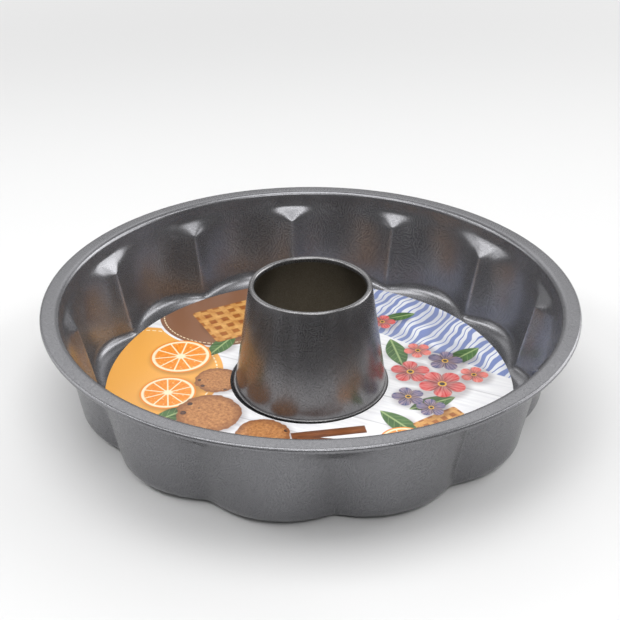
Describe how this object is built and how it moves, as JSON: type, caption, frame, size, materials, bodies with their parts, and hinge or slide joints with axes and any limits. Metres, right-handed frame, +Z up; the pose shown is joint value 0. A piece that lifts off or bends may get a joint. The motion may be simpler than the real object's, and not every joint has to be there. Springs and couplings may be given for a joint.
{
  "type": "round cake pan",
  "caption": "Round fluted ring cake pan of coated sheet steel, with a wide curled rim, a tapered centre tube and a loose printed card on its floor.",
  "frame": {"origin": "centre of the base, on the surface that the pan stands on", "axes": "+Z up along the centre tube, +X and +Y through ridges between two scallops"},
  "size_m": [0.2716, 0.2716, 0.0602],
  "materials": {
    "pan_coating": "satin dark grey non-stick coating with a fine metallic fleck",
    "tube_coating": "satin dark grey non-stick coating",
    "printed_board": "glossy printed face, plain back"
  },
  "bodies": {
    "pan": {"pan_body": "pan_coating", "centre_tube": "tube_coating"},
    "card": {"insert_card": "printed_board"}
  },
  "joints": [
    {"name": "card_lift", "type": "slide", "parent": "pan", "child": "card", "axis": [0, 0, 1], "range_m": [0, 0.07]}
  ]
}
